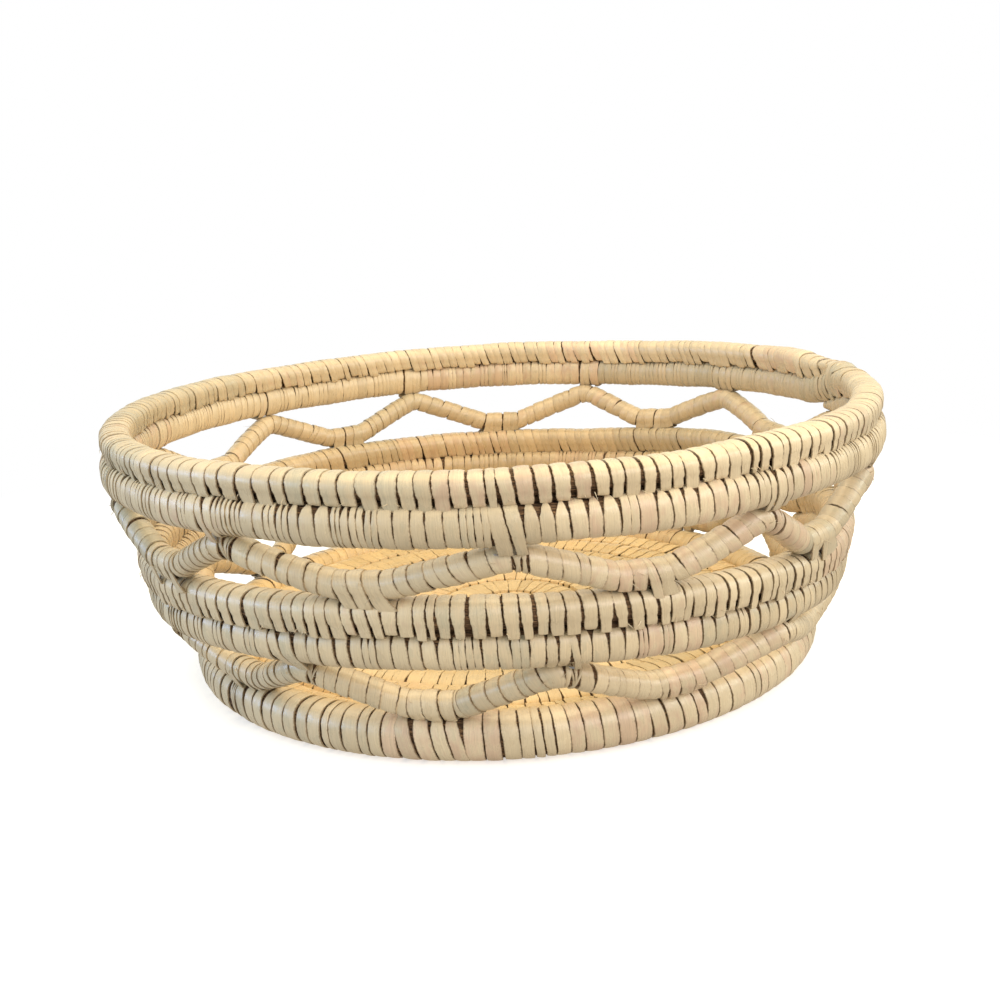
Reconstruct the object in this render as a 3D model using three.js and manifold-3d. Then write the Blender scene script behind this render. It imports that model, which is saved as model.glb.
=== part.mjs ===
// Round openwork basket, made by coiling. Grass bundles (cores) are wrapped in palm leaf strip, wound
// into a floor, a foot ring, a middle band and a rim band, and two zigzag coils hold the bands apart.
// Every bend of a zigzag is lashed to its neighbour by a leaf strip threaded through that row.
// Millimetres, +Z up. The origin is the centre of the foot ring's underside.
import * as THREE from "three";
import Module from "manifold-3d";

const wasm = await Module();
wasm.setup();

// Driving dimensions of the rows: what shows from the outside
const RIM_OUTER_DIAMETER = 300;
const MIDDLE_UPPER_OUTER_DIAMETER = 282;
const MIDDLE_LOWER_OUTER_DIAMETER = 277;
const FOOT_OUTER_DIAMETER = 246;
const UPPER_OPENING_HEIGHT = 21.5;
const LOWER_OPENING_HEIGHT = 19.5;

// Sections of the wrapped coils
const RIM_COIL = { width: 10.8, height: 10.6 };
const MIDDLE_COIL = { width: 11.4, height: 11.3 };
const FOOT_COIL = { width: 15, height: 15 };
const ZIGZAG_COIL = { width: 8.8, height: 8.6 };
const BASE_COIL = { width: 15, height: 11 };
const BASE_LIFT = 1.6; // floor above the ground, so that only the foot ring touches it
const KNOT_DIAMETER = 9; // leaf knot that the floor is started from

// Leaf strip and the bundle inside it
const WRAP_WALL = 0.7;
const CLEARANCE = 0.3; // between pieces that touch
const TURN_GAP = 0.5; // between neighbouring turns of one coil
const CORE_TIP = 1.6; // thickness of the bundle where a coil runs out

// Bearings of the zigzags' upper bends, set by eye on a handmade basket. 0 is +X, -90 is the front.
const UPPER_CREST_ANGLES = [-159, -126, -89, -56, -27, 8, 39, 70, 106, 138, 170];
const LOWER_CREST_ANGLES = [-157, -120, -83, -45, -9, 27, 63, 99, 135, 170];
const CREST_FLAT = 11; // length of a bend along the row above
const VALLEY_FLAT = 19; // length of a bend along the row below
const LEAN_SHARE = 0.25; // how far a bend sits from its row's middle, as a share of the wall's lean

// Lashings at the bends
const LASHING_WIDTH = 8;
const LASHING_THICKNESS = 0.7;
const LASHING_DEPTH = 3.6; // how deep below the row's face the strip is threaded

// Where each wound coil begins, clear of the bends. Coils are wound clockwise, seen from above.
const RIM_START_ANGLE = -20;
const MIDDLE_START_ANGLE = -4;
const FOOT_START_ANGLE = 85;
const CLIMB_ANGLE = 22; // stretch in which a turn climbs over the start of the one below

// Facets
const TURN_STEPS = 24;
const KNOT_STEPS = 10;
const GAP_SAMPLES = 4; // points between two stations when a coil's gap to itself is measured

const LEAF = new THREE.MeshStandardMaterial({ color: 0xdcc79f, roughness: 0.62, metalness: 0 });
const LASHING_LEAF = new THREE.MeshStandardMaterial({ color: 0xcfbd98, roughness: 0.6, metalness: 0 });
const GRASS = new THREE.MeshStandardMaterial({ color: 0x8d6f4a, roughness: 0.9, metalness: 0 });

const TIP = 2 * (WRAP_WALL + CLEARANCE) + CORE_TIP; // thickness of a wrapped coil where it runs out
const STEP_ANGLE = 360 / TURN_STEPS;
const radians = THREE.MathUtils.degToRad;

// Outlines of the sections, anticlockwise, as shares of half the width and height. The flat top and
// bottom are half as wide as the coil. The floor's coil is pressed flat on both sides too.
const FLAT = 0.5;
const PRESSED = 0.35;
const ROW_OUTLINE = [
  [1, 0],
  [FLAT, 1],
  [-FLAT, 1],
  [-1, 0],
  [-FLAT, -1],
  [FLAT, -1],
];
const FLOOR_OUTLINE = [
  [1, PRESSED],
  [FLAT, 1],
  [-FLAT, 1],
  [-1, PRESSED],
  [-1, -PRESSED],
  [-FLAT, -1],
  [FLAT, -1],
  [1, -PRESSED],
];

// A station is where a coil's section stands: bearing in degrees, middle of the section and half sizes.
function station(bearing, radius, z, coil, outline = ROW_OUTLINE) {
  return { bearing, radius, z, outline, halfWidth: coil.width / 2, halfHeight: coil.height / 2 };
}

// A station's section, drawn in by `inset` on every side.
function sectionPoints({ outline, halfWidth, halfHeight }, inset) {
  const corners = outline.map(([across, up]) => new THREE.Vector2(across * halfWidth, up * halfHeight));
  const inwards = corners.map((corner, i) => {
    const edge = corners[(i + 1) % corners.length].clone().sub(corner).normalize();
    return new THREE.Vector2(-edge.y, edge.x);
  });
  return corners.map((corner, i) => {
    const before = inwards.at(i - 1);
    const after = inwards[i];
    const share = inset / (1 + before.dot(after));
    return corner.clone().addScaledVector(before, share).addScaledVector(after, share);
  });
}

// Corners of a station's section in space.
function sectionCorners(at, inset) {
  const angle = radians(at.bearing);
  return sectionPoints(at, inset).map((corner) => {
    const radius = at.radius + corner.x;
    return new THREE.Vector3(radius * Math.cos(angle), radius * Math.sin(angle), at.z + corner.y);
  });
}

function skinFaces(first, rings, sides, facingOut) {
  const faces = [];
  for (let ring = 0; ring < rings - 1; ring++) {
    for (let side = 0; side < sides; side++) {
      const a = first + ring * sides + side;
      const b = first + ring * sides + ((side + 1) % sides);
      const c = b + sides;
      const d = a + sides;
      faces.push(...(facingOut ? [a, d, c, a, c, b] : [a, c, d, a, b, c]));
    }
  }
  return faces;
}

function geometryOf(corners, faces) {
  const geometry = new THREE.BufferGeometry().setFromPoints(corners);
  geometry.setIndex(faces);
  return geometry;
}

// A bundle: a solid tube through the stations.
function solidTube(stations, inset) {
  const sides = stations[0].outline.length;
  const corners = stations.flatMap((at) => sectionCorners(at, inset));
  const faces = skinFaces(0, stations.length, sides, true);
  const last = (stations.length - 1) * sides;
  for (let side = 1; side < sides - 1; side++) {
    faces.push(0, side, side + 1);
    faces.push(last, last + side + 1, last + side);
  }
  return geometryOf(corners, faces);
}

// A wrap: a tube with a bore, open at both ends.
function hollowTube(stations, wall) {
  const sides = stations[0].outline.length;
  const outer = stations.flatMap((at) => sectionCorners(at, 0));
  const bore = stations.flatMap((at) => sectionCorners(at, wall));
  const faces = skinFaces(0, stations.length, sides, true);
  faces.push(...skinFaces(outer.length, stations.length, sides, false));
  const last = (stations.length - 1) * sides;
  for (let side = 0; side < sides; side++) {
    const next = (side + 1) % sides;
    const [o, p, i, j] = [side, next, outer.length + next, outer.length + side];
    faces.push(o, p, i, o, i, j);
    faces.push(last + o, last + i, last + p, last + o, last + j, last + i);
  }
  return geometryOf([...outer, ...bore], faces);
}

// Booleans
function manifoldOf(geometry) {
  const vertProperties = new Float32Array(geometry.getAttribute("position").array);
  const triVerts = new Uint32Array(geometry.index.array);
  return new wasm.Manifold(new wasm.Mesh({ numProp: 3, vertProperties, triVerts }));
}

function boxManifold(size, centre, bearing) {
  const box = new THREE.BoxGeometry(size.x, size.y, size.z);
  const corners = [];
  const position = box.getAttribute("position");
  const turn = new THREE.Matrix4().makeRotationZ(radians(bearing));
  const known = new Map();
  const index = [...box.index.array].map((vertex) => {
    const corner = new THREE.Vector3().fromBufferAttribute(position, vertex);
    const key = corner.toArray().join(" ");
    if (!known.has(key)) {
      known.set(key, corners.length);
      corners.push(corner.add(centre).applyMatrix4(turn));
    }
    return known.get(key);
  });
  return manifoldOf(geometryOf(corners, index));
}

function cutGeometry(geometry, cutters) {
  let solid = manifoldOf(geometry);
  for (const cutter of cutters) solid = solid.subtract(cutter);
  const mesh = solid.getMesh();
  const cut = new THREE.BufferGeometry();
  cut.setAttribute("position", new THREE.BufferAttribute(new Float32Array(mesh.vertProperties), 3));
  cut.setIndex(new THREE.BufferAttribute(new Uint32Array(mesh.triVerts), 1));
  return cut;
}

// The section where a coil runs out: a slice off the full section's top or bottom.
function runOut(coil) {
  return { width: coil.width * THREE.MathUtils.lerp(FLAT, 1, TIP / coil.height), height: TIP };
}

// A row of `radii.length` turns wound on top of each other. Each turn climbs over the last within
// CLIMB_ANGLE, and the coil's two ends run out thin there, so that the band keeps its height.
function woundRow({ coil, radii, bottom, start }) {
  const pitch = coil.height + TURN_GAP;
  const level = (turn) => bottom + coil.height / 2 + turn * pitch;
  const tipShare = (TIP + TURN_GAP) / pitch;
  const thinned = runOut(coil);
  const stations = [];
  const tipStart = start + CLIMB_ANGLE * (1 - tipShare);
  stations.push(station(tipStart, radii[0], bottom + TIP / 2, thinned));
  radii.forEach((radius, turn) => {
    const from = start - 360 * turn;
    const steps = Math.round((360 - CLIMB_ANGLE) / STEP_ANGLE);
    for (let step = 0; step <= steps; step++) {
      const bearing = from - ((360 - CLIMB_ANGLE) * step) / steps;
      stations.push(station(bearing, radius, level(turn), coil));
    }
  });
  const lastTurn = radii.length - 1;
  const top = level(lastTurn) + coil.height / 2;
  const tipEnd = start - 360 * radii.length + CLIMB_ANGLE * tipShare;
  stations.push(station(tipEnd, radii[lastTurn], top - TIP / 2, thinned));
  stations.reverse(); // listed from the end, so that bearings grow
  return { stations, level, top };
}

// The floor: one coil wound outwards in a plane. Its first turn grows from nothing round the knot and
// its last one runs out against the foot ring, so the floor is a full round.
function woundFloor(innerRadius, outerRadius, middle) {
  const pitch = BASE_COIL.width + TURN_GAP;
  const stations = [];
  const turns = (outerRadius - innerRadius) / pitch + 1;
  for (let step = 0; step <= Math.floor(turns * TURN_STEPS); step++) {
    const turn = step / TURN_STEPS;
    const edge = innerRadius + pitch * turn;
    const outer = Math.min(outerRadius, edge - TURN_GAP / 2);
    const inner = Math.max(innerRadius, edge - pitch + TURN_GAP / 2);
    const width = outer - inner;
    const fullness = (width - TIP) / (BASE_COIL.width - TIP);
    const section = { width, height: THREE.MathUtils.lerp(TIP, BASE_COIL.height, fullness) };
    if (width < TIP) continue;
    stations.push(station(-360 * turn, (outer + inner) / 2, middle, section, FLOOR_OUTLINE));
  }
  stations.reverse(); // listed from the end, so that bearings grow
  return { stations };
}

// A zigzag between two rows: a bend under the upper row at each crest, one on the lower row halfway.
// Its two ends are scarfed in the first valley.
function zigzagRow({ crests, lowerRadius, upperRadius, bottom, top }) {
  const coil = ZIGZAG_COIL;
  const lean = (upperRadius - lowerRadius) * LEAN_SHARE;
  const crestRadius = upperRadius - lean;
  const valleyRadius = lowerRadius + lean;
  const crestZ = top - CLEARANCE - coil.height / 2;
  const valleyZ = bottom + CLEARANCE + coil.height / 2;
  const crestHalf = THREE.MathUtils.radToDeg(CREST_FLAT / 2 / crestRadius);
  const valleyHalf = THREE.MathUtils.radToDeg(VALLEY_FLAT / 2 / valleyRadius);
  const valleys = crests.map((crest, i) => {
    const before = i === 0 ? crests[crests.length - 1] - 360 : crests[i - 1];
    return (before + crest) / 2;
  });
  const tipShare = (TIP + TURN_GAP) / (coil.height + TURN_GAP);
  const thinned = runOut(coil);
  const tipOffset = valleyHalf * (2 * tipShare - 1);
  const floorZ = valleyZ - coil.height / 2;
  const crestMiddle = crestRadius * Math.cos(radians(crestHalf));
  const valleyMiddle = valleyRadius * Math.cos(radians(valleyHalf));
  const tipRadius = valleyMiddle / Math.cos(radians(tipOffset));
  const stations = [station(valleys[0] + tipOffset, tipRadius, floorZ + TIP / 2, thinned)];
  crests.forEach((crest, i) => {
    const next = i + 1 < valleys.length ? valleys[i + 1] : valleys[0] + 360;
    stations.push(station(valleys[i] + valleyHalf, valleyRadius, valleyZ, coil));
    stations.push(station(crest - crestHalf, crestRadius, crestZ, coil));
    stations.push(station(crest + crestHalf, crestRadius, crestZ, coil));
    stations.push(station(next - valleyHalf, valleyRadius, valleyZ, coil));
  });
  const ceilingZ = valleyZ + coil.height / 2;
  const tipEnd = valleys[0] + 360 - tipOffset;
  stations.push(station(tipEnd, tipRadius, ceilingZ - TIP / 2, thinned));
  const bends = {
    crests: crests.map((bearing) => station(bearing, crestMiddle, crestZ, coil)),
    valleys: valleys.map((bearing) => station(bearing, valleyMiddle, valleyZ, coil)),
  };
  return { stations, bends };
}

// A lashing goes round a bend and through its row. `side` is +1 where the row lies above the bend.
function lashingPlan(bend, row, side) {
  const sag = row.radius * (1 - Math.cos(radians(STEP_ANGLE / 2)));
  const halfWidth = row.coil.width / 2;
  const halfFlat = halfWidth * FLAT;
  const halfThread = THREE.MathUtils.lerp(halfFlat, halfWidth, LASHING_DEPTH / (row.coil.height / 2));
  const bendFlat = bend.halfWidth * FLAT;
  const faceZ = row.z - (side * row.coil.height) / 2;
  return {
    bearing: bend.bearing,
    side,
    thread: {
      z: faceZ + side * LASHING_DEPTH,
      inner: row.radius - halfThread - sag,
      outer: row.radius + halfThread,
    },
    face: {
      z: faceZ,
      inner: Math.min(row.radius - halfFlat - sag, bend.radius - bendFlat),
      outer: Math.max(row.radius + halfFlat, bend.radius + bendFlat),
    },
    bend: { z: bend.z, inner: bend.radius - bend.halfWidth, outer: bend.radius + bend.halfWidth },
    far: { z: bend.z - side * bend.halfHeight, inner: bend.radius - bendFlat, outer: bend.radius + bendFlat },
  };
}

// The strip's inner outline, or its outer one where `grown` is the strip's thickness.
function lashingOutline({ side, thread, face, bend, far }, grown) {
  const reach = CLEARANCE + grown;
  const threadZ = thread.z + side * (grown - LASHING_THICKNESS / 2);
  const farZ = far.z - side * reach;
  const corners = [
    [thread.inner - reach, threadZ],
    [thread.outer + reach, threadZ],
    [face.outer + reach, face.z],
    [bend.outer + reach, bend.z],
    [far.outer + reach / 2, farZ],
    [far.inner - reach / 2, farZ],
    [bend.inner - reach, bend.z],
    [face.inner - reach, face.z],
  ];
  const outline = corners.map(([radius, z]) => new THREE.Vector2(radius, z));
  return side > 0 ? outline.reverse() : outline; // anticlockwise either way
}

function lashingMesh(name, plan) {
  const shape = new THREE.Shape(lashingOutline(plan, LASHING_THICKNESS));
  shape.holes.push(new THREE.Path(lashingOutline(plan, 0)));
  const geometry = new THREE.ExtrudeGeometry(shape, { depth: LASHING_WIDTH, bevelEnabled: false });
  geometry.rotateX(Math.PI / 2);
  geometry.translate(0, LASHING_WIDTH / 2, 0);
  const mesh = new THREE.Mesh(geometry, LASHING_LEAF);
  mesh.name = name;
  mesh.rotation.z = radians(plan.bearing);
  return mesh;
}

// The tunnel that a lashing is threaded through.
function tunnel({ bearing, thread }) {
  const reach = LASHING_THICKNESS + 2 * CLEARANCE;
  const size = new THREE.Vector3(
    thread.outer - thread.inner + 2 * reach,
    LASHING_WIDTH + 2 * CLEARANCE,
    LASHING_THICKNESS + 2 * CLEARANCE,
  );
  const centre = new THREE.Vector3((thread.outer + thread.inner) / 2, 0, thread.z);
  return boxManifold(size, centre, bearing);
}

// The least gap between points of one coil that lie at least half a turn apart along it.
function selfGap(stations) {
  const points = [];
  for (let i = 0; i + 1 < stations.length; i++) {
    const from = sectionCorners(stations[i], 0);
    const to = sectionCorners(stations[i + 1], 0);
    for (let sample = 0; sample < GAP_SAMPLES; sample++) {
      const share = sample / GAP_SAMPLES;
      const bearing = THREE.MathUtils.lerp(stations[i].bearing, stations[i + 1].bearing, share);
      from.forEach((corner, side) => points.push({ bearing, at: corner.clone().lerp(to[side], share) }));
    }
  }
  let least = Infinity;
  points.forEach((one, i) => {
    for (let j = i + 1; j < points.length; j++) {
      if (points[j].bearing - one.bearing < 180) continue;
      least = Math.min(least, one.at.distanceTo(points[j].at));
    }
  });
  return least;
}

// A coil is two pieces: its grass bundle and the leaf wrapped round it.
function coilMeshes(name, { stations }, cutters = []) {
  const parts = [
    ["core", solidTube(stations, WRAP_WALL + CLEARANCE), GRASS],
    ["wrap", hollowTube(stations, WRAP_WALL), LEAF],
  ];
  console.log(`${name}: least gap to itself ${selfGap(stations).toFixed(2)} mm`);
  return parts.map(([part, geometry, material]) => {
    const mesh = new THREE.Mesh(cutters.length ? cutGeometry(geometry, cutters) : geometry, material);
    mesh.name = `${name}_${part}`;
    return mesh;
  });
}

// Rows from the ground up
const footRadius = (FOOT_OUTER_DIAMETER - FOOT_COIL.width) / 2;
const middleLowerRadius = (MIDDLE_LOWER_OUTER_DIAMETER - MIDDLE_COIL.width) / 2;
const middleUpperRadius = (MIDDLE_UPPER_OUTER_DIAMETER - MIDDLE_COIL.width) / 2;
const rimRadius = (RIM_OUTER_DIAMETER - RIM_COIL.width) / 2;

const foot = woundRow({ coil: FOOT_COIL, radii: [footRadius], bottom: 0, start: FOOT_START_ANGLE });
const middle = woundRow({
  coil: MIDDLE_COIL,
  radii: [middleLowerRadius, middleUpperRadius],
  bottom: foot.top + LOWER_OPENING_HEIGHT,
  start: MIDDLE_START_ANGLE,
});
const rim = woundRow({
  coil: RIM_COIL,
  radii: [rimRadius, rimRadius],
  bottom: middle.top + UPPER_OPENING_HEIGHT,
  start: RIM_START_ANGLE,
});
const lowerZigzag = zigzagRow({
  crests: LOWER_CREST_ANGLES,
  lowerRadius: footRadius,
  upperRadius: middleLowerRadius,
  bottom: foot.top,
  top: foot.top + LOWER_OPENING_HEIGHT,
});
const upperZigzag = zigzagRow({
  crests: UPPER_CREST_ANGLES,
  lowerRadius: middleUpperRadius,
  upperRadius: rimRadius,
  bottom: middle.top,
  top: middle.top + UPPER_OPENING_HEIGHT,
});

// The row faces that the bends are lashed to
const footFace = { coil: FOOT_COIL, radius: footRadius, z: foot.level(0) };
const middleUnderside = { coil: MIDDLE_COIL, radius: middleLowerRadius, z: middle.level(0) };
const middleTop = { coil: MIDDLE_COIL, radius: middleUpperRadius, z: middle.level(1) };
const rimUnderside = { coil: RIM_COIL, radius: rimRadius, z: rim.level(0) };

const plansOf = (bends, row, side) => bends.map((bend) => lashingPlan(bend, row, side));
const lashings = {
  lower_valley: plansOf(lowerZigzag.bends.valleys, footFace, -1),
  lower_crest: plansOf(lowerZigzag.bends.crests, middleUnderside, 1),
  upper_valley: plansOf(upperZigzag.bends.valleys, middleTop, -1),
  upper_crest: plansOf(upperZigzag.bends.crests, rimUnderside, 1),
};
const tunnels = (...names) => names.flatMap((name) => lashings[name].map(tunnel));

// The floor fills the foot ring, and the knot fills the floor's middle.
const floorMiddle = BASE_LIFT + BASE_COIL.height / 2;
const footSag = Math.cos(radians(STEP_ANGLE / 2));
const floorRadius = (footRadius - FOOT_COIL.width / 2) * footSag - CLEARANCE;
const floor = woundFloor(KNOT_DIAMETER / 2 + CLEARANCE, floorRadius, floorMiddle);

function knotMesh() {
  const radius = (KNOT_DIAMETER / 2) * Math.cos(radians(STEP_ANGLE / 2));
  const half = BASE_COIL.height / 2;
  const profile = [
    [0, -half],
    [radius / 2, -half],
    [radius, -half / 2],
    [radius, half / 2],
    [radius / 2, half],
    [0, half],
  ].map(([across, up]) => new THREE.Vector2(across, up));
  const geometry = new THREE.LatheGeometry(profile, KNOT_STEPS);
  geometry.rotateX(Math.PI / 2);
  const mesh = new THREE.Mesh(geometry, LASHING_LEAF);
  mesh.name = "base_knot";
  mesh.position.z = floorMiddle;
  return mesh;
}

const base = new THREE.Group();
base.add(knotMesh(), ...coilMeshes("base_coil", floor));
base.add(...coilMeshes("foot_ring", foot, tunnels("lower_valley")));

const wall = new THREE.Group();
wall.add(...coilMeshes("lower_zigzag", lowerZigzag), ...coilMeshes("upper_zigzag", upperZigzag));
wall.add(...coilMeshes("middle_band", middle, tunnels("lower_crest", "upper_valley")));
wall.add(...coilMeshes("rim_band", rim, tunnels("upper_crest")));

const ties = new THREE.Group();
for (const [place, plans] of Object.entries(lashings)) {
  plans.forEach((plan, i) => {
    ties.add(lashingMesh(`${place}_lashing_${String(i + 1).padStart(2, "0")}`, plan));
  });
}

const basket = new THREE.Group();
basket.add(base, wall, ties);
export default basket;
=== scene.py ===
"""Looks of a round openwork basket made of leaf-wrapped grass coils.

Every turn of leaf strip is a real band of mesh, laid along the coil that the frame holds. Lengths here are
millimetres until a mesh is made, and the section of a coil is measured along two axes: outward and up.
"""
import math
from collections import namedtuple

import bpy
import numpy as np
from mathutils import Matrix, Vector


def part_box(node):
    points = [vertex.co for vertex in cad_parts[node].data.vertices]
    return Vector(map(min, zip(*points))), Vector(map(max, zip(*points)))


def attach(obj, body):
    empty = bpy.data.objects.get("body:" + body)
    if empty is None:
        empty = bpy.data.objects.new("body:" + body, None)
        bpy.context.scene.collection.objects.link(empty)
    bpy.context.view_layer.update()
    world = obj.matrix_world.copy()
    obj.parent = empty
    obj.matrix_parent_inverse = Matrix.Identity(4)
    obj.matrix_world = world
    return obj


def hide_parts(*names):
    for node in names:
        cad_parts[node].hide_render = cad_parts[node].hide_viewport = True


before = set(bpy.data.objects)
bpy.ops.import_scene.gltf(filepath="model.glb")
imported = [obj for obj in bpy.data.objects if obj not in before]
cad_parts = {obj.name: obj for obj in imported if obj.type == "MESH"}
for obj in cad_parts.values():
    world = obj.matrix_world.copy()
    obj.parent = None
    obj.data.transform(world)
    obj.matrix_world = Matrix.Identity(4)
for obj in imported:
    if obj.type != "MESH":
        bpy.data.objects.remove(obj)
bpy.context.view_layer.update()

MM = 0.001
RANDOM = np.random.default_rng(11)

# Camera, matched to the photograph
CAMERA_DISTANCE = 474
CAMERA_HEIGHT = 174.5
CAMERA_PITCH = 12.24
CAMERA_ROLL = 3.36
FOCAL_PIXELS = 1215
FRAME_PIXELS = 1000
PRINCIPAL_POINT = (494.1, 459.6)
SENSOR_WIDTH = 36

# Winding of the coils
TURN_GAP = 0.5
TIP = 3.6  # height of a coil where it begins
END_TIP = 1.4  # and where it ends
END_SHARE = 0.7  # part of the climb that the end lies on
END_DEPTH = 0.4  # how deep a coil stays where its height runs out
CLIMB_ANGLE = 22
ROW_START = -4  # bearing
RIM_STEP_OUT = 1.0
MIDDLE_STEP_IN = 2.5
LEAN_SHARE = 0.25  # how far a bend keeps from its row's own radius
CREST_FLAT = 4
VALLEY_FLAT = 17
EARLY_VALLEY = math.radians(45)
EARLY_BY = 13
BEND_ROUNDING = 3.0
BASE_PITCH = 15.5
BASE_THIN = 0.45  # how thick the floor's coil stays where its width runs out
UPPER_LEVEL = 0.98  # above this a place counts as on a row's second turn
SAMPLE_STEP = 0.6

# Half sizes of the coils, and how much of a band's height its lower turn takes
RIM_HALF_OUT = 5.4
RIM_LOWER_SHARE = 0.59
MIDDLE_HALF_OUT = 5.7
MIDDLE_LOWER_SHARE = 0.55
FOOT_HALF = 7.5
FLOOR_TUCK = 0.8
FLOOR_TIP = 1.2
ZIGZAG_HALF_OUT = 4.4
ZIGZAG_HALF_UP = 4.3
SEAM_HALF_OUT = 3.2
SEAM_HALF_UP = 2.2
ROW_ROUNDNESS, ZIGZAG_ROUNDNESS, SEAM_ROUNDNESS = 2.4, 2.1, 2.0  # 2 is an ellipse, more is squarer
SEAM_START = 30  # along the floor's coil
KNOT_TURNS = 5

# Unevenness of handwork round each row: waves (count in a round, size, bearing of a top) and single humps
Hump = namedtuple("Hump", "size middle width")
RIM_OUT = ((0, -1.0, 0), (2, 1.0, 90), (3, 0.35, 50))
RIM_UP = ((0, -0.3, 0), (1, 0.6, 180), (5, 0.25, 20), (11, 0.16, 14), (17, 0.12, 3), Hump(1.6, 25, 30))
MIDDLE_OUT = ((0, -1.0, 0), (1, 0.7, 180), (2, 1.1, 90), (3, 0.3, 70), (13, 0.15, 22))
MIDDLE_HUMPS = (Hump(4.2, 35, 22), Hump(-1.8, 3, 13))
MIDDLE_UP = ((0, -0.45, 0), (1, 0.9, -160), (2, 1.55, -97), (3, 1.2, -97), *MIDDLE_HUMPS)
FOOT_OUT = ((1, 1.1, -15), (2, 0.4, 30), (3, 0.3, 0))
UPPER_BULGE = ((0, 1.1, 0), (2, 1.1, 0))
LOWER_BULGE = ((0, 0.9, 0), (1, 2.1, -5), (2, 1.4, -5))
SWELLING = ((10.3, 0.022, 30), (17.7, 0.02, 65), (29.1, 0.018, 10))
LEVEL = ()

# Leaf strip and the grass under it
STRIP_THICKNESS = 0.45
SECTION_POINTS = 26
OUTER_CROWN = 0.1
INNER_CROWN = 0.3
RAGGED = 0.07
RIPPLES = ((1.1, 1, 3), (2.7, 2.3, -4))  # of a strip's edges: along it, with its seed and across it
BOW_WAVE = 2.2
SHARP_ANGLE = math.radians(38)
CORE_INSET = 0.6
CORE_STEP = 2.5
SEAM_STRANDS = 8
ZIGZAG_STRANDS = 12
ROW_STRANDS = 16
FOOT_STRANDS = 22
SIDES_PER_STRAND = 4
RIB_DEPTH = 0.25
RIB_WANDER = 0.11
RIB_TWISTS = 3
STEM_TWIST = 0.02

# How a strip is laid along a coil: step, least gap, usual gap, share of wide gaps, shingle tilt and slant
Lay = namedtuple("Lay", "pitch least gap wide_share tilt slant")
ROW_LAY = Lay(4.1, 0.03, 0.17, 0.08, 0.1, 0.3)
ZIGZAG_LAY = Lay(4.8, -0.09, 0.06, 0.012, 0.32, 0.6)
FOOT_LAY = Lay(4.8, 0.05, 0.18, 0.05, 0.14, 0.4)
FLOOR_LAY = Lay(5.2, 0.07, 0.08, 0.03, 0.14, 0.3)
END_LAY = Lay(6.6, 0.0, 0.04, 0.0, 0.1, 0.5)
END_LENGTH = 72
TIED_LENGTH = 20
TIE_LAY = Lay(3.6, 0.04, 0.08, 0.0, 0.2, 1.6)
TIE_FIRST = 0.55
TIE_LAST = 0.95
TIE_OVER = 0.3

# Bands cut from one leaf: how many there are, and ranges of how loose, wide and uneven they are
LEAF_BANDS = (5, 15)
LEAF_TONE = (0.5, 0.16)
TIGHT_SHARE = 0.35
TIGHT = (0.0, 0.3)
LOOSE = (0.6, 2.0)
PULL = (0.7, 1.2)
NARROW_SHARE = 0.1
NARROW_CUT = (0.5, 0.7)
USUAL_CUT = (0.8, 1.2)
LEAST_CUT = 0.4
GAP_EVENNESS = 7.0
WIDER_BY = (0.2, 0.6)
WIDEST_GAP = 1.0
SPREAD = {"slant": 0.12, "tone": 0.15, "hue": 0.08, "age": 0.1, "lift": 0.06, "tilt": 0.12, "bow": 0.1}
SEEDS = (0, 100)

# Stitches: how far they go past their coil, and how their legs narrow, are drawn in and turn out of sight
STITCH_OVER = math.radians(28)
PINCH_WIDTH = 0.85
INSIDE_SHARE = 0.45
INSIDE_CROWDING = 0.06
LEG_TAPER = np.array([1.0, 0.95, 0.84, 0.66])
LEG_DRIFT = 0.5
LEG_DRAW = 0.4
LEDGE_IN = 0.2
TURNED_IN, TURNED_DOWN = 0.5, 0.25
HIDDEN_IN, HIDDEN_DOWN = 2.2, 0.2
CORNER_OUT, CORNER_DOWN = 0.75, 0.66

# How bands of a row are drawn in, notched, threaded and torn, and how long the lashings are each way
CREST_HALF = 5.5
VALLEY_HALF = 8.5
DRAWN_SHARE = 0.55
DRAWN_IN = (0.5, 1.0)
BARELY_DRAWN = (0.0, 0.35)
NOTCHED_SHARE = 0.5
NOTCH = (0.12, 0.3)
BARELY_NOTCHED = (0.0, 0.12)
THREADED_PINCH = (0.2, 0.45)
THREADED_SLANT = 0.5
FOOT_PINCH = (0.05, 0.35)
FOOT_SLANT = 1.2
FOOT_MARGIN = 2
FLOOR_PINCH = 0.2
TORN_SHARE = 0.4
STITCH_REACH = (0.2, 1.9)
FLOOR_REACH = (0.4, 1.6)
STITCH_DRAW = 0.6
INNER_SLANT = (1.3, 0.2)
THIN_END = {"reach_out": 2.6, "reach_in": 2.6, "narrow": 0, "draw": 0, "slant": 1.2}
HANGING_SHARE = 0.5
HANGING_SLANT = 0.9
SHORT_HOLD, LONG_HOLD = (0.4, 1.4), (1.6, 3.2)
HOLD_INSIDE = (-0.3, 0.3)
HOLD_NARROW = (0.0, 0.3)
HOLD_DRIFT = 1.5
RIM_DRIFT, MIDDLE_DRIFT = -2.3, -4.0
UPPER_DRIFT, LOWER_DRIFT = -1.0, -1.8
UPPER_LONG, LOWER_LONG = 0.3, 0.12
LONG_REACH, SHORT_REACH, INNER_REACH = (2.0, 4.5), (-0.2, 0.8), (-0.2, 1.0)
LONG_SLANT = 0.8
ZIGZAG_NARROW = (0.0, 0.25)
MISSING_OFFSET = 2.4
SLIVERS = 4
SLIVER_SHIFT = (-0.4, 0.4)
SLIVER = {"width": (0.6, 1.3), "slant": (-0.6, 2.2), "lift": (-0.35, -0.05), "tone": (0, 0.7)}
FRAYED_SLIVERS = 3
FRAYED_HALF = 3

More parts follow.
